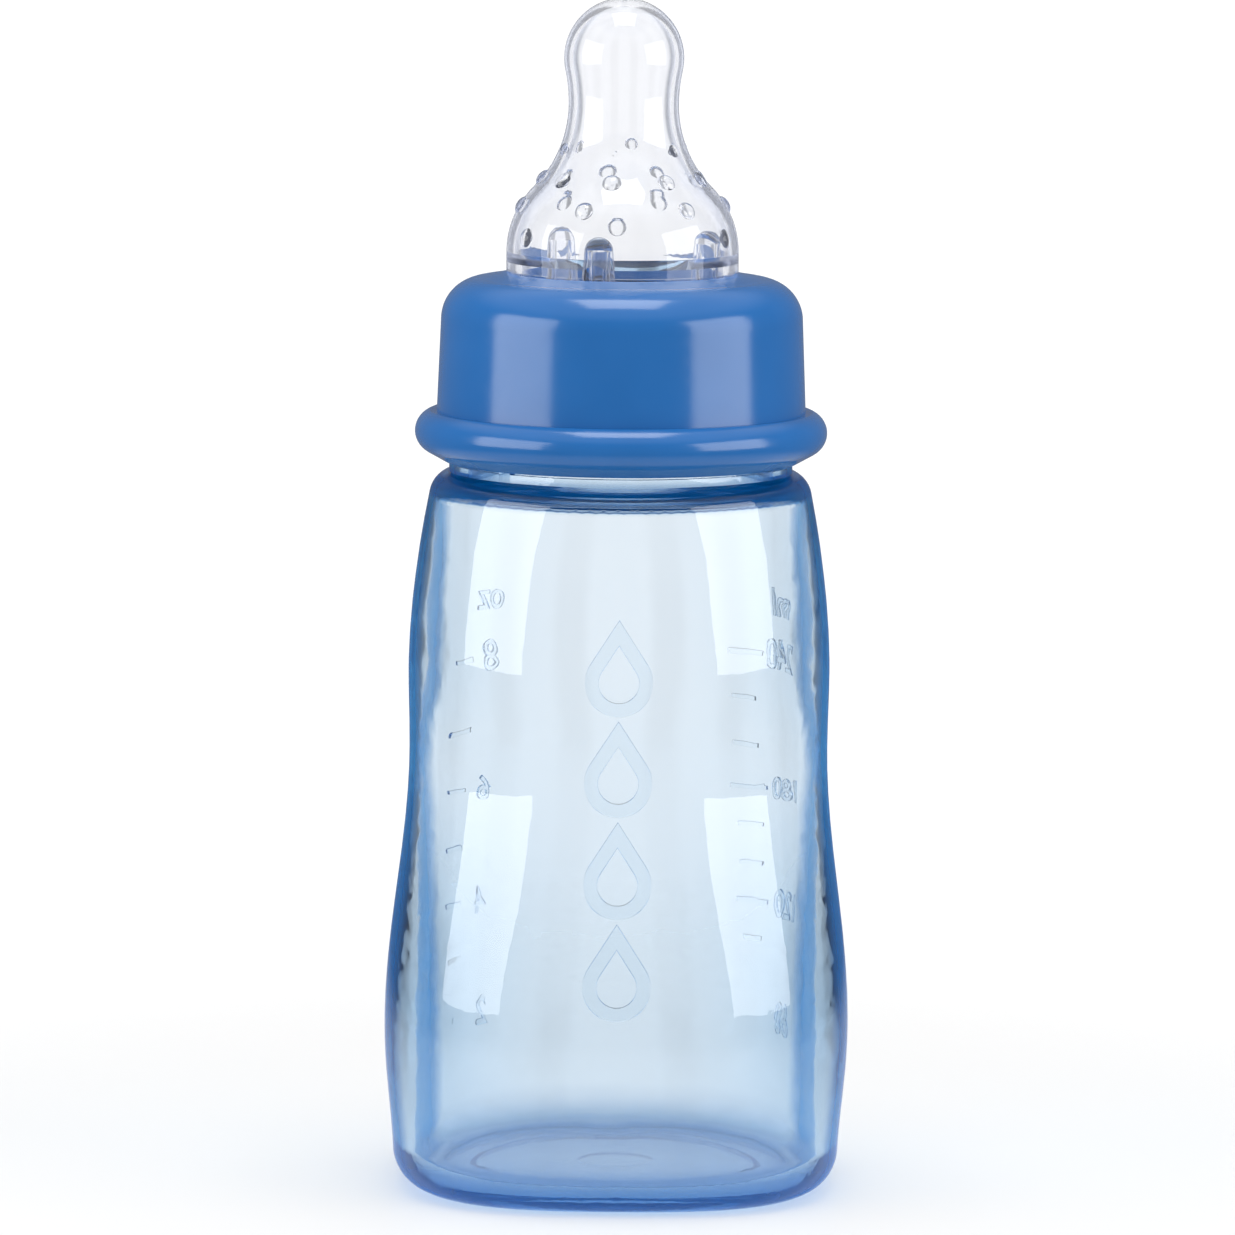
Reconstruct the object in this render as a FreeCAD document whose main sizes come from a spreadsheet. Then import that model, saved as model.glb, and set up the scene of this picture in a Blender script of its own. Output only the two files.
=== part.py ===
import FreeCAD, Part

import math
import os

import Sketcher
from FreeCAD import Placement, Rotation, Vector

# A feeding bottle, in millimetres: +Z is up, the origin is the centre of the base and -Y is the front.

doc = FreeCAD.newDocument("baby_bottle")
sheet = doc.addObject("Spreadsheet::Sheet", "dims")

DIMENSIONS = (
    # Bottle wall: half widths across the flats, at the heights where the outline turns
    ("base_half", 33.3),
    ("belly_half", 34.9),
    ("belly_height", 24.0),
    ("waist_half", 31.4),
    ("waist_height", 66.0),
    ("chest_half", 31.6),
    ("chest_height", 77.0),
    ("shoulder_half", 28.05),
    ("shoulder_height", 107.5),
    ("base_round", 5.5),
    ("shoulder_round", 4.0),
    ("shoulder_plate", 2.2),
    ("shoulder_inner_round", 2.6),
    # How square the wall's section is: the power of its superellipse, 2 being round
    ("base_square", 2.7),
    ("belly_square", 2.45),
    ("waist_square", 2.05),
    ("chest_square", 2.25),
    ("shoulder_square", 2.1),
    # Wall thickness at the front and back, and at the sides, where a hand holds it
    ("base_wall", 2.0),
    ("belly_wall", 1.7),
    ("waist_wall", 1.25),
    ("chest_wall", 1.1),
    ("shoulder_wall", 1.0),
    ("base_side", 2.4),
    ("belly_side", 3.3),
    ("waist_side", 1.3),
    ("chest_side", 1.9),
    ("shoulder_side", 1.2),
    # Base
    ("floor_height", 2.8),
    ("floor_round", 4.3),
    ("foot_inner_radius", 22.8),
    ("foot_recess", 1.0),
    ("gate_radius", 5.8),
    ("gate_recess", 0.4),
    # Neck
    ("neck_radius", 24.6),
    ("neck_ring_radius", 25.7),
    ("neck_ring_top", 108.6),
    ("lug_width", 2.2),
    ("lug_height", 1.4),
    ("lug_sink", 0.6),
    ("lug_turn", -42.0),
    ("bore_radius", 22.9),
    ("rim_height", 132.4),
    # Screw thread
    ("thread_pitch", 4.0),
    ("thread_turns", 1.5),
    ("thread_start", 121.5),
    ("neck_thread_radius", 25.6),
    ("thread_foot_width", 2.0),
    ("thread_crest_width", 0.9),
    ("thread_gap", 1.6),
    ("thread_overlap", 0.3),
    ("collar_thread_radius", 24.95),
    # Collar
    ("collar_foot", 109.0),
    ("collar_foot_radius", 26.6),
    ("collar_bore_radius", 26.0),
    ("collar_wall_radius", 27.6),
    ("collar_top_radius", 27.05),
    ("collar_entry", 0.8),
    ("collar_round", 6.2),
    ("collar_round_lead", 0.3),
    ("collar_crown_height", 136.3),
    ("collar_eye_radius", 17.0),
    ("collar_eye_height", 137.1),
    ("collar_plate_under", 134.6),
    ("collar_inner_round", 3.4),
    ("bead_radius", 3.3),
    ("bead_centre_radius", 27.55),
    ("bead_centre_height", 113.3),
    ("bead_top_angle", 70.0),
    ("bead_low_angle", 60.0),
    # Nipple
    ("nipple_top", 178.1),
    ("tip_radius", 8.95),
    ("nipple_waist_radius", 8.22),
    ("nipple_waist_height", 162.3),
    ("flare_radius", 17.6),
    ("dome_round", 13.8),
    ("dome_radius", 17.35),
    ("dome_foot_height", 138.6),
    ("dome_foot_radius", 15.1),
    ("nipple_wall", 1.25),
    ("lip_height", 137.45),
    ("groove_radius", 16.7),
    ("flange_radius", 24.4),
    ("flange_edge_radius", 23.4),
    ("flange_edge_height", 133.2),
    ("flange_top", 134.2),
    ("web_radius", 11.5),
    ("web_top", 134.4),
    ("feed_radius", 0.4),
    ("vent_circle", 13.3),
    ("vent_foot_radius", 2.7),
    ("vent_radius", 2.1),
    ("vent_bore", 1.2),
    ("vent_top", 143.3),
    ("vent_count", 3),
    ("vent_turn", -15.0),
    ("nub_radius", 1.5),
    ("nub_proud", 0.65),
    ("nub_root", 0.35),
    ("small_nub_share", 0.72),
    # Raised detail on the wall
    ("mark_proud", 0.4),
    ("motif_proud", 0.75),
    ("mark_width", 0.7),
    ("mark_length", 5.2),
    ("long_mark_length", 7.6),
    ("ml_turn", 139.6),
    ("oz_turn", 233.6),
    ("drop_count", 4),
    ("drop_radius", 5.0),
    ("drop_point", 9.2),
    ("drop_band", 2.0),
    ("drop_step", 14.9),
    ("motif_centre", 57.0),
)
for row, (alias, value) in enumerate(DIMENSIONS, start=1):
    sheet.set(f"A{row}", alias)
    sheet.set(f"B{row}", str(value))
    sheet.setAlias(f"B{row}", alias)
doc.recompute()


def dim(alias):
    return float(sheet.get(alias))


# ---------------------------------------------------------------- bottle wall

HALF_POINTS = 20
STATION_STEP = 7.0
LEVEL = 0.01
CLEAR = 2.0


def between(z, low, high, first, last):
    """Ease from first to last as z goes from low to high."""
    share = (1 - math.cos(math.pi * (z - low) / (high - low))) / 2
    return first + (last - first) * share


def along_wall(z, kind):
    """The wall's half width, squareness, front ("wall") or side thickness at a height."""
    base, belly, waist, chest, shoulder = (
        dim(f"{place}_{kind}") for place in ("base", "belly", "waist", "chest", "shoulder")
    )
    belly_z = dim("belly_height")
    waist_z = dim("waist_height")
    chest_z = dim("chest_height")
    if z < belly_z:
        return between(z, 0, belly_z, base, belly)
    if z < waist_z:
        return between(z, belly_z, waist_z, belly, waist)
    if z < chest_z:
        return between(z, waist_z, chest_z, waist, chest)
    share = 1 - math.cos(math.pi / 2 * (z - chest_z) / (dim("shoulder_height") - chest_z))
    return chest + (shoulder - chest) * share


def wall_points(z, inner, proud, first, count):
    """Evenly turned points along the wall's outer or inner face at a height, moved out by proud."""
    half = along_wall(z, "half")
    across = half - along_wall(z, "side") * inner + proud
    deep = half - along_wall(z, "wall") * inner + proud
    power = along_wall(z, "square")
    points = []
    for k in range(first, first + count):
        c = math.cos(math.pi * k / HALF_POINTS)
        s = math.sin(math.pi * k / HALF_POINTS)
        r = (abs(c / across) ** power + abs(s / deep) ** power) ** (-1 / power)
        points.append(Vector(r * c, r * s, z))
    return points


def section(z, inner, proud):
    """The closed outline at a height, as a back half and a front half that meet at the sides."""
    halves = []
    knots = [float(k) for k in range(HALF_POINTS + 1)]
    for first in (0, HALF_POINTS):
        points = wall_points(z, inner, proud, first, HALF_POINTS + 1)
        start = Vector(0, points[0].x * math.pi / HALF_POINTS, 0)
        curve = Part.BSplineCurve()
        curve.interpolate(
            Points=points, Parameters=knots, InitialTangent=start, FinalTangent=-start, Scale=False
        )
        halves.append(curve.toShape())
    return Part.Wire(halves)


def wall_loft(low, high, inner=False, proud=0):
    steps = round((high - low) / STATION_STEP)
    heights = [low + (high - low) * k / steps for k in range(steps + 1)]
    return Part.makeLoft([section(z, inner, proud) for z in heights], True, False)


def rounded_end(solid, z, radius):
    """Round the edge of the flat end at height z."""
    level = [e for e in solid.Edges if e.BoundBox.ZLength < LEVEL]
    return solid.makeFillet(radius, [e for e in level if abs(e.BoundBox.ZMin - z) < LEVEL])


def cylinder(radius, low, high):
    return Part.makeCylinder(radius, high - low, Vector(0, 0, low))


def thread(root_radius, crest_radius, start):
    """A raised helical thread, from root_radius to crest_radius."""
    pitch = dim("thread_pitch")
    helix = Part.makeHelix(pitch, pitch * dim("thread_turns"), root_radius)
    foot = dim("thread_foot_width") / 2
    crest = dim("thread_crest_width") / 2
    corners = [(root_radius, -foot), (crest_radius, -crest), (crest_radius, crest), (root_radius, foot)]
    corners.append(corners[0])
    profile = Part.makePolygon([Vector(r, 0, z) for r, z in corners])
    ridge = Part.Wire(helix).makePipeShell([profile], True, True)
    ridge.translate(Vector(0, 0, start))
    return ridge


def bottle_shape():
    top = dim("shoulder_height")
    under = top - dim("shoulder_plate")
    outer = wall_loft(0, top)
    outer = rounded_end(outer, 0, dim("base_round"))
    outer = rounded_end(outer, top, dim("shoulder_round"))
    hollow = wall_loft(dim("floor_height"), under, inner=True)
    hollow = rounded_end(hollow, dim("floor_height"), dim("floor_round"))
    hollow = rounded_end(hollow, under, dim("shoulder_inner_round"))
    neck = cylinder(dim("neck_radius"), under, dim("rim_height"))
    ring = cylinder(dim("neck_ring_radius"), (under + top) / 2, dim("neck_ring_top"))
    lug_width = dim("lug_width")
    lug_foot = top - dim("lug_sink")
    lug_top = top + dim("lug_height")
    lug = Part.makeBox(
        dim("neck_ring_radius"), lug_width, lug_top - lug_foot, Vector(0, -lug_width / 2, lug_foot)
    )
    lug.rotate(Vector(), Vector(0, 0, 1), dim("lug_turn") - 90)
    lug = lug.common(cylinder(dim("neck_ring_radius"), lug_foot, lug_top))
    body = outer.fuse([neck, ring, lug] + raised_detail())
    body = body.cut(hollow)
    body = body.cut(cylinder(dim("bore_radius"), under - CLEAR, dim("rim_height") + CLEAR))
    recess = dim("foot_recess")
    body = body.cut(Part.makeCone(dim("foot_inner_radius"), dim("foot_inner_radius") - recess, recess))
    body = body.cut(cylinder(dim("gate_radius"), 0, recess + dim("gate_recess")))
    root = dim("neck_radius") - dim("thread_overlap")
    ridge = thread(root, dim("neck_thread_radius"), dim("thread_start"))
    return body.fuse(ridge).removeSplitter()


# ---------------------------------------------------------------- raised motif and scale

ML_PER_MARK = 20
MARKS_PER_LABEL = 3
FIRST_ML = 60
LAST_ML = 240
ML_PER_OZ = 29.574
FIRST_OZ = 2
LAST_OZ = 8
CUBIC_MM_PER_ML = 1000.0


def section_area(z):
    """Area inside the wall at a height, by the polar area formula."""
    turn = math.pi / HALF_POINTS
    ring = wall_points(z, True, 0, 0, 2 * HALF_POINTS)
    return sum(math.hypot(p.x, p.y) ** 2 * turn / 2 for p in ring)


def fill_height(millilitres):
    """The height to which a volume fills the bottle."""
    z = dim("floor_height")
    step = 0.5
    left = millilitres * CUBIC_MM_PER_ML
    while left > 0:
        slab = section_area(z + step / 2) * step
        left -= slab
        z += step
    return z + left / slab * step


def facing(turn):
    """The direction that lies turn degrees round from the front, towards +X."""
    return Vector(math.sin(math.radians(turn)), -math.cos(math.radians(turn)), 0)


def bar(z, turn, length):
    """A scale mark, turn degrees round from the front, before it is trimmed to the wall."""
    width = dim("mark_width")
    reach = dim("belly_half") + CLEAR
    box = Part.makeBox(length, reach, width, Vector(-length / 2, 0, z - width / 2))
    box.rotate(Vector(), Vector(0, 0, 1), turn - 180)
    return box


def drop(z, radius):
    """A plain water drop on the front, point up, before it is trimmed to the wall."""
    lift = dim("drop_point") * radius / dim("drop_radius")
    lean = math.asin(radius / lift)
    side = Vector(radius * math.cos(lean), 0, radius * math.sin(lean))
    mirror = Vector(-side.x, 0, side.z)
    tip = Vector(0, 0, lift)
    arc = Part.Arc(side, Vector(0, 0, -radius), mirror)
    outline = Part.Wire([arc.toShape(), Part.makeLine(mirror, tip), Part.makeLine(tip, side)])
    outline.translate(Vector(0, 0, z))
    return Part.Face(outline).extrude(Vector(0, -dim("belly_half") - CLEAR, 0))


def raised_detail():
    """Scale marks and drop outlines, standing a little off the wall."""
    skin = wall_loft(0, dim("shoulder_height"), proud=dim("mark_proud"))
    motif_skin = wall_loft(0, dim("shoulder_height"), proud=dim("motif_proud"))
    marks = []
    for index, millilitres in enumerate(range(FIRST_ML, LAST_ML + 1, ML_PER_MARK)):
        length = dim("mark_length") if index % MARKS_PER_LABEL else dim("long_mark_length")
        marks.append(bar(fill_height(millilitres), dim("ml_turn"), length))
    for ounces in range(FIRST_OZ, LAST_OZ + 1):
        marks.append(bar(fill_height(ounces * ML_PER_OZ), dim("oz_turn"), dim("mark_length")))
    drops = []
    count = int(dim("drop_count"))
    for k in range(count):
        z = dim("motif_centre") + (k - (count - 1) / 2) * dim("drop_step")
        inside = drop(z, dim("drop_radius") - dim("drop_band"))
        drops.append(drop(z, dim("drop_radius")).cut(inside))
    return [mark.common(skin) for mark in marks] + [shape.common(motif_skin) for shape in drops]


bottle = doc.addObject("Part::Feature", "bottle")
bottle.Label = "bottle"
bottle.Shape = bottle_shape()
bottle.Placement = Placement()


# ---------------------------------------------------------------- turned bodies

# Places where the outlines' arcs meet, worked out in the sheet
DERIVED = (
    ("collar_thread_start", "=thread_start - thread_gap"),
    ("collar_thread_root", "=collar_bore_radius + thread_overlap"),
    ("thread_foot_low", "=collar_thread_start - thread_foot_width / 2"),
    ("thread_foot_high", "=collar_thread_start + thread_foot_width / 2"),
    ("thread_crest_low", "=collar_thread_start - thread_crest_width / 2"),
    ("thread_crest_high", "=collar_thread_start + thread_crest_width / 2"),
    ("crown_radius", "=collar_top_radius - collar_round + collar_round_lead"),
    ("shoulder_line", "=collar_crown_height - collar_round"),
    ("bead_top_radius", "=bead_centre_radius + bead_radius * cos(bead_top_angle * 1deg)"),
    ("bead_top_height", "=bead_centre_height + bead_radius * sin(bead_top_angle * 1deg)"),
    ("bead_low_radius", "=bead_centre_radius + bead_radius * cos(bead_low_angle * 1deg)"),
    ("bead_low_height", "=bead_centre_height - bead_radius * sin(bead_low_angle * 1deg)"),
    ("collar_entry_height", "=collar_foot + collar_entry"),
    ("inner_round_radius", "=collar_bore_radius - collar_inner_round"),
    ("inner_round_height", "=collar_plate_under - collar_inner_round"),
    ("tip_height", "=nipple_top - tip_radius"),
    ("tip_drop", "=tip_height - nipple_waist_height"),
    (
        "bulb_round",
        "=(nipple_waist_radius ^ 2 + tip_drop ^ 2 - tip_radius ^ 2)"
        " / (2 * (tip_radius - nipple_waist_radius))",
    ),
    ("bulb_share", "=tip_radius / (tip_radius + bulb_round)"),
    ("bulb_lean", "=(nipple_waist_radius + bulb_round) / (tip_radius + bulb_round)"),
    ("bulb_sink", "=tip_drop / (tip_radius + bulb_round)"),
    ("bulb_out_radius", "=bulb_lean * tip_radius"),
    ("bulb_out_height", "=tip_height - bulb_sink * tip_radius"),
    ("bulb_in_radius", "=bulb_lean * (tip_radius - nipple_wall)"),
    ("bulb_in_height", "=tip_height - bulb_sink * (tip_radius - nipple_wall)"),
    ("flare_reach", "=flare_radius + dome_round"),
    ("flare_across", "=nipple_waist_radius + flare_radius - dome_radius + dome_round"),
    ("flare_fall", "=sqrt(flare_reach ^ 2 - flare_across ^ 2)"),
    ("dome_height", "=nipple_waist_height - flare_fall"),
    ("dome_centre", "=dome_radius - dome_round"),
    ("flare_out_radius", "=dome_centre + flare_across / flare_reach * dome_round"),
    ("flare_out_height", "=dome_height + flare_fall / flare_reach * dome_round"),
    ("dome_in_round", "=dome_round - nipple_wall"),
    ("flare_in_radius", "=dome_centre + flare_across / flare_reach * dome_in_round"),
    ("flare_in_height", "=dome_height + flare_fall / flare_reach * dome_in_round"),
    ("dome_in_radius", "=dome_radius - nipple_wall"),
    ("waist_in_radius", "=nipple_waist_radius - nipple_wall"),
    ("flare_in_round", "=flare_radius + nipple_wall"),
    ("bulb_in_round", "=bulb_round + nipple_wall"),
    ("tip_in_radius", "=tip_radius - nipple_wall"),
    ("feed_out_height", "=tip_height + sqrt(tip_radius ^ 2 - feed_radius ^ 2)"),
    ("feed_in_height", "=tip_height + sqrt(tip_in_radius ^ 2 - feed_radius ^ 2)"),
)
for row, (alias, formula) in enumerate(DERIVED, start=len(DIMENSIONS) + 1):
    sheet.set(f"A{row}", alias)
    sheet.set(f"B{row}", formula)
    sheet.setAlias(f"B{row}", alias)
    doc.recompute()


def base_plane(body, role):
    return [f for f in body.Origin.OriginFeatures if f.Role == role][0]


def outline(body, name, corners, bends):
    """A closed outline in the XZ plane through corners, each a pair of cell names.

    bends gives the arcs: the index of the corner where one starts, its radius's cell name,
    and 1 where its centre lies left of the way along it or -1 where it lies right.
    """
    sketch = body.newObject("Sketcher::SketchObject", name)
    sketch.AttachmentSupport = (base_plane(body, "XZ_Plane"), "")
    sketch.MapMode = "FlatFace"
    places = [Vector(dim(across), dim(up), 0) for across, up in corners]
    arcs = {index: (radius, side) for index, radius, side in bends}
    ends = []
    for index, start in enumerate(places):
        stop = places[(index + 1) % len(places)]
        if index not in arcs:
            sketch.addGeometry(Part.LineSegment(start, stop))
            ends.append((1, 2))
            continue
        radius, side = arcs[index]
        chord = stop - start
        rise = math.sqrt(dim(radius) ** 2 - (chord.Length / 2) ** 2)
        across = Vector(-chord.y, chord.x, 0).normalize()
        centre = (start + stop) / 2 + across * (rise * side)
        first, last = (start, stop) if side > 0 else (stop, start)
        turns = [math.atan2(p.y - centre.y, p.x - centre.x) for p in (first, last)]
        circle = Part.Circle(centre, Vector(0, 0, 1), dim(radius))
        sketch.addGeometry(Part.ArcOfCircle(circle, turns[0], turns[1]))
        ends.append((1, 2) if side > 0 else (2, 1))
    for index, (across, up) in enumerate(corners):
        after = (index + 1) % len(corners)
        start = ends[index][0]
        joined = Sketcher.Constraint("Coincident", index, ends[index][1], after, ends[after][0])
        sketch.addConstraint(joined)
        for kind, cell in (("DistanceX", across), ("DistanceY", up)):
            made = sketch.addConstraint(Sketcher.Constraint(kind, -1, 1, index, start, dim(cell)))
            sketch.setExpression(f"Constraints[{made}]", f"dims.{cell}")
        if index in arcs:
            radius = arcs[index][0]
            made = sketch.addConstraint(Sketcher.Constraint("Radius", index, dim(radius)))
            sketch.setExpression(f"Constraints[{made}]", f"dims.{radius}")
    return sketch


def turned(body, sketch):
    solid = body.newObject("PartDesign::Revolution", f"{sketch.Name}_turned")
    solid.Profile = sketch
    solid.ReferenceAxis = (sketch, ["V_Axis"])
    solid.Angle = 360
    sketch.Visibility = False
    doc.recompute()
    return solid


# ---------------------------------------------------------------- collar

collar = doc.addObject("PartDesign::Body", "collar")
collar.Label = "collar"
collar_outline = outline(
    collar,
    "collar_outline",
    (
        ("collar_eye_radius", "collar_plate_under"),
        ("collar_eye_radius", "collar_eye_height"),
        ("crown_radius", "collar_crown_height"),
        ("collar_top_radius", "shoulder_line"),
        ("collar_wall_radius", "bead_top_height"),
        ("bead_top_radius", "bead_top_height"),
        ("bead_low_radius", "bead_low_height"),
        ("collar_foot_radius", "collar_foot"),
        ("collar_bore_radius", "collar_entry_height"),
        ("collar_bore_radius", "inner_round_height"),
        ("inner_round_radius", "collar_plate_under"),
    ),
    ((2, "collar_round", -1), (5, "bead_radius", -1), (9, "collar_inner_round", 1)),
)
turned(collar, collar_outline)
collar_thread_outline = outline(
    collar,
    "collar_thread_outline",
    (
        ("collar_thread_root", "thread_foot_low"),
        ("collar_thread_root", "thread_foot_high"),
        ("collar_thread_radius", "thread_crest_high"),
        ("collar_thread_radius", "thread_crest_low"),
    ),
    (),
)
collar_thread = collar.newObject("PartDesign::AdditiveHelix", "collar_thread")
collar_thread.Profile = collar_thread_outline
collar_thread.ReferenceAxis = (collar_thread_outline, ["V_Axis"])
collar_thread.Mode = "pitch-turns-angle"
collar_thread.setExpression("Pitch", "dims.thread_pitch")
collar_thread.setExpression("Turns", "dims.thread_turns")
doc.recompute()


# ---------------------------------------------------------------- nipple

nipple = doc.addObject("PartDesign::Body", "nipple")
nipple.Label = "nipple"
nipple_outline = outline(
    nipple,
    "nipple_outline",
    (
        ("feed_radius", "feed_out_height"),
        ("bulb_out_radius", "bulb_out_height"),
        ("nipple_waist_radius", "nipple_waist_height"),
        ("flare_out_radius", "flare_out_height"),
        ("dome_radius", "dome_height"),
        ("dome_radius", "lip_height"),
        ("groove_radius", "lip_height"),
        ("groove_radius", "flange_top"),
        ("flange_edge_radius", "flange_top"),
        ("flange_radius", "flange_edge_height"),
        ("flange_radius", "rim_height"),
        ("web_radius", "rim_height"),
        ("web_radius", "web_top"),
        ("dome_foot_radius", "web_top"),
        ("dome_foot_radius", "dome_foot_height"),
        ("dome_in_radius", "dome_height"),
        ("flare_in_radius", "flare_in_height"),
        ("waist_in_radius", "nipple_waist_height"),
        ("bulb_in_radius", "bulb_in_height"),
        ("feed_radius", "feed_in_height"),
    ),
    (
        (0, "tip_radius", -1),
        (1, "bulb_round", 1),
        (2, "flare_radius", 1),
        (3, "dome_round", -1),
        (15, "dome_in_round", 1),
        (16, "flare_in_round", -1),
        (17, "bulb_in_round", -1),
        (18, "tip_in_radius", 1),
    ),
)
turned(nipple, nipple_outline)


def primitive(kind, name, sizes, place):
    """A PartDesign primitive in the nipple, with its sizes bound to cells."""
    solid = nipple.newObject(f"PartDesign::{kind}", name)
    solid.AttachmentSupport = (base_plane(nipple, "XY_Plane"), "")
    solid.MapMode = "FlatFace"
    solid.AttachmentOffset = place
    for prop, formula in sizes:
        solid.setExpression(prop, formula)
    doc.recompute()
    return solid


def around(originals, name, count):
    """Repeat features evenly about the axis."""
    ring = nipple.newObject("PartDesign::PolarPattern", name)
    ring.Originals = originals
    ring.Axis = (nipple_outline, ["V_Axis"])
    ring.Angle = 360
    ring.Occurrences = count
    nipple.Tip = ring
    doc.recompute()


vent_base = facing(dim("vent_turn")) * dim("vent_circle")
vent_foot = vent_base + Vector(0, 0, dim("rim_height"))
vent_crown = vent_base + Vector(0, 0, dim("vent_top") - dim("vent_radius"))
vent_parts = [
    primitive(
        "AdditiveCone",
        "vent_post",
        (
            ("Radius1", "dims.vent_foot_radius"),
            ("Radius2", "dims.vent_radius"),
            ("Height", "dims.vent_top - dims.vent_radius - dims.rim_height"),
        ),
        Placement(vent_foot, Rotation()),
    ),
    primitive(
        "AdditiveSphere",
        "vent_crown",
        (("Radius", "dims.vent_radius"),),
        Placement(vent_crown, Rotation()),
    ),
    primitive(
        "SubtractiveCylinder",
        "vent_bore",
        (
            ("Radius", "dims.vent_bore"),
            ("Height", "dims.vent_top - dims.vent_radius - dims.rim_height"),
        ),
        Placement(vent_foot, Rotation()),
    ),
]
around(vent_parts, "vent_ring", int(dim("vent_count")))

# Rows of nubs: height, how many, and the first one's turn from the front
NUB_ROWS = ((155.7, 6, -8.0), (151.3, 9, -48.0), (147.3, 6, -22.0), (142.9, 3, -57.0))


def flank(z):
    """The nipple's outer radius at a height, and how far its face looks up there."""
    if z > dim("flare_out_height"):
        lean = math.asin((dim("nipple_waist_height") - z) / dim("flare_radius"))
        return dim("nipple_waist_radius") + dim("flare_radius") * (1 - math.cos(lean)), lean
    lean = math.asin((z - dim("dome_height")) / dim("dome_round"))
    return dim("dome_centre") + dim("dome_round") * math.cos(lean), lean


for row, (height, count, first) in enumerate(NUB_ROWS, start=1):
    radius, lean = flank(height)
    outward = facing(first) * math.cos(lean) + Vector(0, 0, math.sin(lean))
    centre = facing(first) * radius + Vector(0, 0, height) - outward * dim("nub_root")
    size = "dims.nub_radius * dims.small_nub_share" if row == 1 else "dims.nub_radius"
    nub = primitive(
        "AdditiveEllipsoid",
        f"nub_{row}",
        (
            ("Radius1", "dims.nub_root + dims.nub_proud"),
            ("Radius2", size),
            ("Radius3", size),
        ),
        Placement(centre, Rotation(Vector(0, 0, 1), outward)),
    )
    around([nub], f"nub_row_{row}", count)


# ---------------------------------------------------------------- check and export

doc.recompute()
for item in doc.Objects:
    if "Invalid" in item.State or "Error" in item.State:
        raise RuntimeError(f"{item.Name} failed: {item.State}")
os.makedirs("parts", exist_ok=True)
for part in (bottle, collar, nipple):
    if part.Shape.isNull() or not part.Shape.isValid() or len(part.Shape.Solids) != 1:
        raise RuntimeError(f"{part.Label} isn't one valid solid")
    box = part.Shape.optimalBoundingBox()
    print(f"{part.Label}: {part.Shape.Volume:.0f} mm3, up to {box.ZMax:.2f} mm high and {box.XMax:.2f} out")
    part.Shape.exportStep(f"parts/{part.Label}.step")
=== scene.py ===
import math

import bmesh
import bpy
from mathutils import Matrix, Vector

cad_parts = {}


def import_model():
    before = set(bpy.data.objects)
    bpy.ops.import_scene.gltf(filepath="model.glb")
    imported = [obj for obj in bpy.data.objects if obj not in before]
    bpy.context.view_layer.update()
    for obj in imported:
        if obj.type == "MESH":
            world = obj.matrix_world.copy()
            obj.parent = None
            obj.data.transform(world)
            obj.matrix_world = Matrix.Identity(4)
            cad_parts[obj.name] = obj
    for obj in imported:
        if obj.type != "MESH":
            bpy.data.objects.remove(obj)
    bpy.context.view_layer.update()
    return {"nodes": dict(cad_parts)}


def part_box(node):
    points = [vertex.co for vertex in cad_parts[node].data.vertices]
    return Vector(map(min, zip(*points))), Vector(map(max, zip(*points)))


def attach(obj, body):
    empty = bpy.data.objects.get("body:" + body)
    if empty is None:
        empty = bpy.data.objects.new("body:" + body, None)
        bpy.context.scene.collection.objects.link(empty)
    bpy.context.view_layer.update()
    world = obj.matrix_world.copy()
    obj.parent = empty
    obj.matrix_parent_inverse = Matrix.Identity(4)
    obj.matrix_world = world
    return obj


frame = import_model()
nodes = frame["nodes"]
scene = bpy.context.scene


# ---------------------------------------------------------------- node helpers

def material(name):
    """A new node material with an empty tree and its output node."""
    made = bpy.data.materials.new(name)
    made.use_nodes = True
    tree = made.node_tree
    tree.nodes.clear()
    return made, tree, tree.nodes.new("ShaderNodeOutputMaterial")


def node(tree, kind, links=(), **values):
    """A node of that kind, with its properties and inputs set and its inputs linked."""
    made = tree.nodes.new("ShaderNode" + kind)
    for key, value in values.items():
        if hasattr(made, key):
            setattr(made, key, value)
        else:
            made.inputs[key.replace("_", " ")].default_value = value
    for socket, source in dict(links).items():
        tree.links.new(source, made.inputs[socket])
    return made


def math_node(tree, operation, first, second=None):
    """A Math node on one socket, or on a socket and either a second socket or a number."""
    made = node(tree, "Math", {0: first}, operation=operation)
    if isinstance(second, (int, float)):
        made.inputs[1].default_value = second
    elif second is not None:
        tree.links.new(second, made.inputs[1])
    return made.outputs["Value"]


def ramp(tree, value, stops, step="LINEAR"):
    """A socket eased from one number to another: stops is (from, to, first, last)."""
    low, high, first, last = stops
    return node(tree, "MapRange", {"Value": value}, interpolation_type=step,
                From_Min=low, From_Max=high, To_Min=first, To_Max=last).outputs["Result"]


def blend(tree, share, first, second):
    """A mix of two shaders."""
    mix = node(tree, "MixShader", {"Fac": share})
    tree.links.new(first, mix.inputs[1])
    tree.links.new(second, mix.inputs[2])
    return mix.outputs["Shader"]


def paint(piece, made):
    piece.data.materials.clear()
    piece.data.materials.append(made)


# ---------------------------------------------------------------- materials

PLASTIC_IOR = 1.49
SILICONE_IOR = 1.41
CLEAR_COLOUR = (1, 1, 1, 1)
# The deep blue the bottle's base colour turns to: painted shade at the silhouette edges, partly standing for
# the longer path through the wall there, and the deeper colour of the thick base and shoulder
EDGE_SHADE_AND_THICK_BLUE = (0.03, 0.33, 0.60, 1)
EDGE_HAZE = (0.0, 0.24, 0.58, 1)
COLLAR_DARK = (0.010, 0.100, 0.31, 1)
COLLAR_LIGHT = (0.012, 0.108, 0.33, 1)
SILICONE_HAZE = (0.62, 0.66, 0.78, 1)

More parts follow.
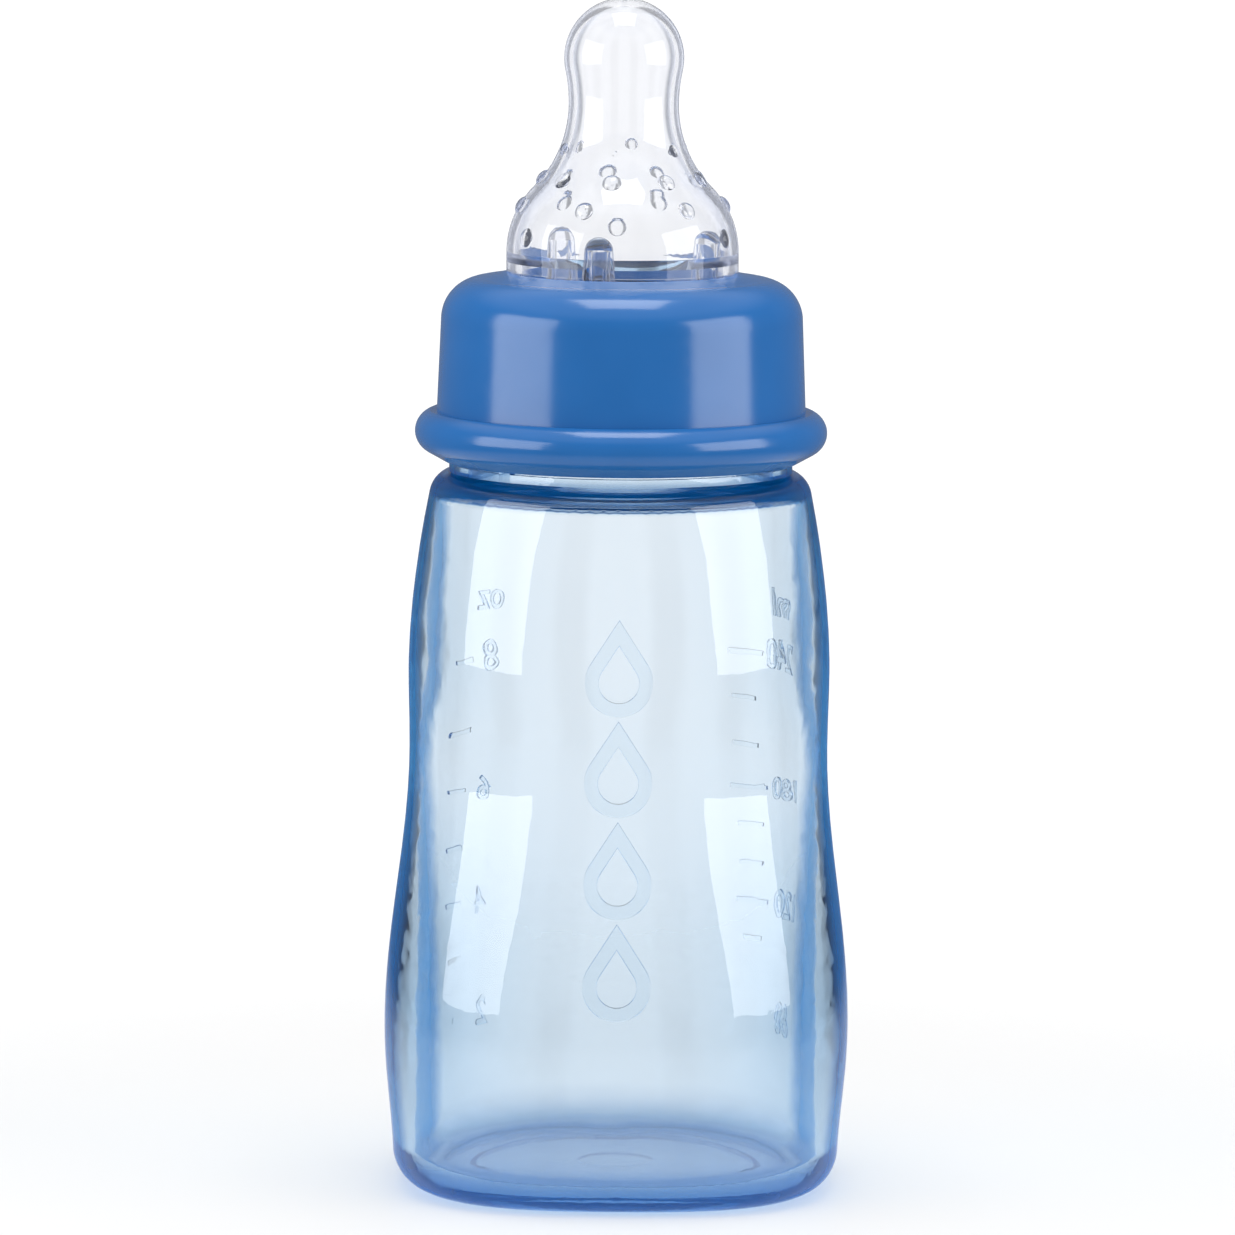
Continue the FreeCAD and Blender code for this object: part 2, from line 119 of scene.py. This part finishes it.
# How much deeper the bottle's colour is, by height in metres: the base and the shoulder are thick, and at the
# shoulder ring just under the collar the deeper colour is also painted shade
THICKNESS_AND_COLLAR_SHADE = (
    (0.0, 0.45),
    (0.0020, 0.30),
    (0.0055, 0.08),
    (0.0085, 0.0),
    (0.1035, 0.0),
    (0.1058, 0.5),
    (0.1074, 0.35),
    (0.1084, 0.0),
)


def pass_shadows(tree, skin, out):
    """Let shadow rays through a clear surface, so that a clear wall casts no hard dark shadow."""
    ray = node(tree, "LightPath")
    clear = node(tree, "BsdfTransparent")
    shader = blend(tree, ray.outputs["Is Shadow Ray"], skin, clear.outputs["BSDF"])
    tree.links.new(shader, out.inputs["Surface"])


def hazed(tree, glass, colour, edge, low, high):
    """Clear plastic with a milky haze that goes from low to high as its surface turns edge on."""
    milk = node(tree, "BsdfTranslucent", Color=colour)
    return blend(tree, ramp(tree, edge, (0, 1, low, high)), glass.outputs["BSDF"], milk.outputs["BSDF"])


def edge_share(tree, low, high):
    """How far a surface is turned edge on, from 0 to 1, on all but level faces."""
    edge = node(tree, "LayerWeight", Blend=0.5)
    turned = ramp(tree, edge.outputs["Facing"], (low, high, 0, 1), "SMOOTHSTEP")
    where = node(tree, "NewGeometry")
    axes = node(tree, "SeparateXYZ", {"Vector": where.outputs["Normal"]})
    tilt = math_node(tree, "ABSOLUTE", axes.outputs["Z"])
    upright = ramp(tree, tilt, (0.75, 0.98, 1, 0), "SMOOTHSTEP")
    return math_node(tree, "MULTIPLY", turned, upright)


def thick_and_collar_shade_share(tree, place):
    """How much deeper the colour is at a height, from 0 to 1: thick wall at the base and shoulder, with
    painted shade under the collar at the shoulder ring.
    """
    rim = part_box("bottle")[1][2]
    axes = node(tree, "SeparateXYZ", {"Vector": place.outputs["Object"]})
    levels = node(tree, "ValToRGB", {"Fac": ramp(tree, axes.outputs["Z"], (0, rim, 0, 1))})
    stops = levels.color_ramp.elements
    while len(stops) < len(THICKNESS_AND_COLLAR_SHADE):
        stops.new(0.5)
    for stop, (height, level) in zip(stops, THICKNESS_AND_COLLAR_SHADE):
        stop.position = height / rim
        stop.color = (level, level, level, 1)
    return levels.outputs["Color"]


def tinted_plastic():
    """Clear blue polypropylene: the colour comes from how far the light travels in the wall, and the base
    colour deepens as painted shade at the silhouette edges and under the collar, and where the base and
    shoulder are thick.
    """
    made, tree, out = material("bottle_tinted_plastic_and_edge_shade")
    place = node(tree, "TexCoord")
    flow = node(tree, "TexNoise", {"Vector": place.outputs["Object"]}, Scale=60.0, Detail=3.0)
    # Painted shade: the base colour turns deep blue where the wall turns edge on, standing for the dark edges
    # the surroundings give and partly for the longer path through the wall; by height it also deepens at the
    # thick base and at the shoulder, where it paints the shade under the collar
    edge = math_node(tree, "MAXIMUM", edge_share(tree, 0.60, 0.80), thick_and_collar_shade_share(tree, place))
    tint = node(tree, "ValToRGB", {"Fac": edge})
    tint.color_ramp.elements[0].color = CLEAR_COLOUR
    tint.color_ramp.elements[1].color = EDGE_SHADE_AND_THICK_BLUE
    skin = node(tree, "BsdfPrincipled",
                {"Base Color": tint.outputs["Color"],
                 "Roughness": ramp(tree, flow.outputs["Fac"], (0, 1, 0, 0.03))},
                IOR=PLASTIC_IOR, Transmission_Weight=1.0)
    body = node(tree, "VolumeAbsorption", Color=(0.0, 0.43, 0.74, 1), Density=105.0)
    pass_shadows(tree, hazed(tree, skin, EDGE_HAZE, edge, 0.01, 0.50), out)
    tree.links.new(body.outputs["Volume"], out.inputs["Volume"])
    return made


def blue_plastic():
    """Opaque moulded blue plastic, with a slight cloud in its colour and a fine grain in its gloss."""
    made, tree, out = material("collar_blue_plastic")
    place = node(tree, "TexCoord")
    grain = node(tree, "TexNoise", {"Vector": place.outputs["Object"]}, Scale=500.0, Detail=3.0)
    cloud = node(tree, "TexNoise", {"Vector": place.outputs["Object"]}, Scale=70.0, Detail=2.0)
    bump = node(tree, "Bump", {"Height": grain.outputs["Fac"]}, Strength=0.2, Distance=0.00002)
    tint = node(tree, "ValToRGB", {"Fac": cloud.outputs["Fac"]})
    tint.color_ramp.elements[0].position = 0.35
    tint.color_ramp.elements[0].color = COLLAR_DARK
    tint.color_ramp.elements[1].position = 0.65
    tint.color_ramp.elements[1].color = COLLAR_LIGHT
    skin = node(tree, "BsdfPrincipled",
                {"Base Color": tint.outputs["Color"], "Normal": bump.outputs["Normal"],
                 "Roughness": ramp(tree, grain.outputs["Fac"], (0, 1, 0.13, 0.22))},
                IOR=PLASTIC_IOR)
    tree.links.new(skin.outputs["BSDF"], out.inputs["Surface"])
    return made


def clear_silicone():
    made, tree, out = material("nipple_clear_silicone")
    place = node(tree, "TexCoord")
    flow = node(tree, "TexNoise", {"Vector": place.outputs["Object"]}, Scale=120.0, Detail=3.0)
    skin = node(tree, "BsdfPrincipled",
                {"Roughness": ramp(tree, flow.outputs["Fac"], (0, 1, 0, 0.04))},
                Base_Color=CLEAR_COLOUR, IOR=SILICONE_IOR, Transmission_Weight=1.0)
    body = node(tree, "VolumeAbsorption", Color=(0.55, 0.60, 0.75, 1), Density=50.0)
    pass_shadows(tree, hazed(tree, skin, SILICONE_HAZE, edge_share(tree, 0.45, 0.75), 0.03, 0.30), out)
    tree.links.new(body.outputs["Volume"], out.inputs["Volume"])
    return made


bottle_plastic = tinted_plastic()
paint(nodes["bottle"], bottle_plastic)
paint(nodes["collar"], blue_plastic())
paint(nodes["nipple"], clear_silicone())
for shown in nodes.values():
    shown.data.shade_smooth()


# ---------------------------------------------------------------- scale numbers

# What each scale says, and the height in metres of the mark beside it
ML_LABELS = (("60", 0.0203), ("120", 0.0375), ("180", 0.0565), ("240", 0.0771), ("ml", 0.0850))
OZ_LABELS = (("2", 0.0201), ("4", 0.0370), ("6", 0.0557), ("8", 0.0760), ("oz", 0.0850))
# Degrees round from the front towards +X
ML_TURN = 122.5
OZ_TURN = 221.0
LABEL_SIZE = 0.0062
LABEL_RISE = 0.00018
LABEL_EDGE = 0.00008
LABEL_GAP = 0.00001
LABEL_MERGE = 0.000004
FAR_OUT = 0.08


def on_wall(turn, height, proud):
    """The point that far off the bottle's wall, turned that many radians round from the front."""
    outward = Vector((math.sin(turn), -math.cos(turn), 0))
    start = outward * FAR_OUT + Vector((0, 0, height))
    found, place, _, _ = nodes["bottle"].ray_cast(start, -outward)
    if not found:
        raise RuntimeError("a scale number misses the wall")
    return place + outward * proud


def label(text, turn, height):
    """Raised lettering wrapped round the wall, as points and faces."""
    data = bpy.data.curves.new("label", "FONT")
    data.body = text
    data.size = LABEL_SIZE
    data.align_x = "CENTER"
    data.align_y = "CENTER"
    data.extrude = LABEL_RISE
    data.bevel_depth = LABEL_EDGE
    data.bevel_resolution = 1
    data.resolution_u = 4
    shape = bpy.data.objects.new("label", data)
    scene.collection.objects.link(shape)
    bpy.context.view_layer.update()
    mesh = bpy.data.meshes.new_from_object(shape)
    bpy.data.objects.remove(shape)
    start = math.radians(turn)
    centre = on_wall(start, height, 0.0)
    radius = math.hypot(centre.x, centre.y)
    lift = LABEL_RISE + LABEL_EDGE + LABEL_GAP
    points = [on_wall(start + v.co.x / radius, height + v.co.y, v.co.z + lift) for v in mesh.vertices]
    faces = [tuple(f.vertices) for f in mesh.polygons]
    bpy.data.meshes.remove(mesh)
    return points, faces


def scale_numbers(name, labels, turn):
    """One scale's figures, as a piece of the bottle."""
    points = []
    faces = []
    for text, height in labels:
        more, shapes = label(text, turn, height)
        faces += [tuple(index + len(points) for index in face) for face in shapes]
        points += more
    mesh = bpy.data.meshes.new(name)
    mesh.from_pydata(points, [], faces)
    work = bmesh.new()
    work.from_mesh(mesh)
    bmesh.ops.remove_doubles(work, verts=work.verts, dist=LABEL_MERGE)
    bmesh.ops.recalc_face_normals(work, faces=work.faces)
    work.to_mesh(mesh)
    work.free()
    piece = bpy.data.objects.new(name, mesh)
    scene.collection.objects.link(piece)
    paint(piece, bottle_plastic)
    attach(piece, "bottle")


scale_numbers("scale_numbers_ml", ML_LABELS, ML_TURN)
scale_numbers("scale_numbers_oz", OZ_LABELS, OZ_TURN)


# ---------------------------------------------------------------- floor, light, camera

FLOOR_SOLID = 0.10
FLOOR_RADIUS = 0.30
FLOOR_DROP = 0.0002
FLOOR_COLOUR = (0.55, 0.55, 0.55, 1)
PANELS = 8
PANEL_LIGHT = 1.05
GAP_LIGHT = 0.35
GLOSS_LIGHT = 0.22
AMBIENT_LIGHT = 0.75
SKY_LIGHT = 1.0
SEEN_LIGHT = 1.1
SOFTBOX_AIM = Vector((0, 0, 0.08))
CAMERA_PLACE = Vector((0, -1.300, 0.243))
CAMERA_AIM = Vector((-0.0003, 0, 0.0852))
CAMERA_ROLL = 0.48


def stage_floor():
    """A pale floor that fades out at its rim into the white surround."""
    made, tree, out = material("stage_floor")
    place = node(tree, "TexCoord")
    reach = node(tree, "VectorMath", {0: place.outputs["Object"]}, operation="LENGTH")
    fade = ramp(tree, reach.outputs["Value"], (FLOOR_SOLID, FLOOR_RADIUS, 0, 1), "SMOOTHSTEP")
    skin = node(tree, "BsdfPrincipled", Base_Color=FLOOR_COLOUR, Roughness=0.5,
                Emission_Color=(1, 1, 1, 1), Emission_Strength=0.25)
    clear = node(tree, "BsdfTransparent")
    shader = blend(tree, fade, skin.outputs["BSDF"], clear.outputs["BSDF"])
    tree.links.new(shader, out.inputs["Surface"])
    bpy.ops.mesh.primitive_circle_add(
        vertices=128, radius=FLOOR_RADIUS, fill_type="NGON", location=(0, 0, -FLOOR_DROP)
    )
    floor = bpy.context.object
    floor.name = "stage_floor"
    paint(floor, made)


def softbox(name, turn, height, width, tall, power, distance):
    """An area light aimed at the bottle, turned that many degrees round from the front towards +X."""
    data = bpy.data.lights.new(name, "AREA")
    data.shape = "RECTANGLE"
    data.size = width
    data.size_y = tall
    data.energy = power
    lamp = bpy.data.objects.new(name, data)
    scene.collection.objects.link(lamp)
    angle = math.radians(turn)
    lamp.location = (math.sin(angle) * distance, -math.cos(angle) * distance, height)
    lamp.rotation_euler = (SOFTBOX_AIM - lamp.location).to_track_quat("-Z", "Y").to_euler()
    lamp.visible_camera = False
    lamp.visible_transmission = False


def world():
    """White to the camera. Through clear plastic, eight white panels stand round with dimmer gaps between."""
    made = bpy.data.worlds.new("studio")
    made.use_nodes = True
    tree = made.node_tree
    tree.nodes.clear()
    out = tree.nodes.new("ShaderNodeOutputWorld")
    place = node(tree, "TexCoord")
    axes = node(tree, "SeparateXYZ", {"Vector": place.outputs["Generated"]})
    turn = math_node(tree, "ARCTAN2", axes.outputs["X"], axes.outputs["Y"])
    wave = math_node(tree, "COSINE", math_node(tree, "MULTIPLY", turn, PANELS))
    through = ramp(tree, wave, (-0.7, 0.1, GAP_LIGHT, PANEL_LIGHT), "SMOOTHSTEP")
    mirrored = ramp(tree, axes.outputs["Z"], (0.45, 0.8, GLOSS_LIGHT, SKY_LIGHT), "SMOOTHSTEP")
    ray = node(tree, "LightPath")
    level = node(tree, "Mix", {"Factor": ray.outputs["Is Glossy Ray"], "B": mirrored}, A=AMBIENT_LIGHT)
    level = node(tree, "Mix", {"Factor": ray.outputs["Is Transmission Ray"],
                               "A": level.outputs["Result"], "B": through})
    level = node(tree, "Mix", {"Factor": ray.outputs["Is Camera Ray"], "A": level.outputs["Result"]},
                 B=SEEN_LIGHT)
    glow = node(tree, "Background", {"Strength": level.outputs["Result"]}, Color=(1, 1, 1, 1))
    tree.links.new(glow.outputs["Background"], out.inputs["Surface"])
    scene.world = made


def camera():
    data = bpy.data.cameras.new("camera")
    data.lens = 254.4
    data.sensor_width = 36.0
    data.clip_end = 100
    shot = bpy.data.objects.new("camera", data)
    scene.collection.objects.link(shot)
    shot.location = CAMERA_PLACE
    look = (CAMERA_AIM - CAMERA_PLACE).to_track_quat("-Z", "Y").to_matrix()
    shot.rotation_euler = (look @ Matrix.Rotation(math.radians(CAMERA_ROLL), 3, "Z")).to_euler()
    scene.camera = shot


stage_floor()
softbox("softbox_left", -66, 0.30, 0.75, 0.60, 6.0, 0.9)
softbox("softbox_right", 66, 0.30, 0.75, 0.60, 6.0, 0.9)
softbox("softbox_top", 0, 1.2, 0.6, 0.6, 6.0, 0.1)
world()
camera()
scene.view_settings.view_transform = "Standard"
scene.cycles.max_bounces = 24
scene.cycles.transmission_bounces = 24
